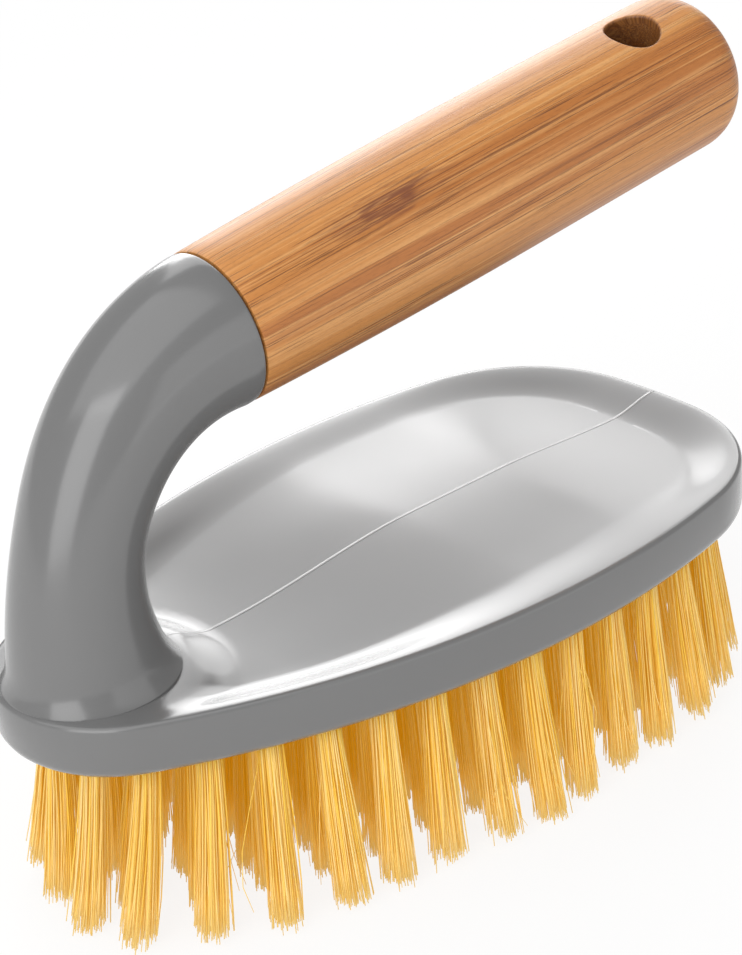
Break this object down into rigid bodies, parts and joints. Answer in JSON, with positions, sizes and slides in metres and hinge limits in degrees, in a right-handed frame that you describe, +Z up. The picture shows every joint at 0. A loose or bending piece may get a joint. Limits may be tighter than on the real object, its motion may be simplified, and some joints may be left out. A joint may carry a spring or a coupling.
{
  "type": "scrub brush",
  "caption": "Hand scrub brush: broad moulded block with dense tufts, a curved neck rising at its rear end and a round bamboo handle with a cross-drilled hanging hole.",
  "frame": {"origin": "on the floor under the middle of the whole length, midway between the sides, with the brush standing on the tips of its tufts", "axes": "+X from the neck at the rear to the nose and the free end of the handle, +Y to the left side, +Z up"},
  "size_m": [0.1544, 0.0788, 0.1123],
  "materials": {
    "body_plastic": "glossy grey moulded plastic",
    "bamboo": "turned bamboo, satin, grain along the handle",
    "filament": "golden translucent filament, tips cut level",
    "anchor_wire": "drawn flat wire"
  },
  "bodies": {
    "root": {"brush_body": "body_plastic", "handle": "bamboo", "tufts_outer": "filament", "tufts_second": "filament", "tufts_third": "filament", "tufts_centre": "filament", "anchors_outer": "anchor_wire", "anchors_second": "anchor_wire", "anchors_third": "anchor_wire", "anchors_centre": "anchor_wire"}
  },
  "joints": []
}
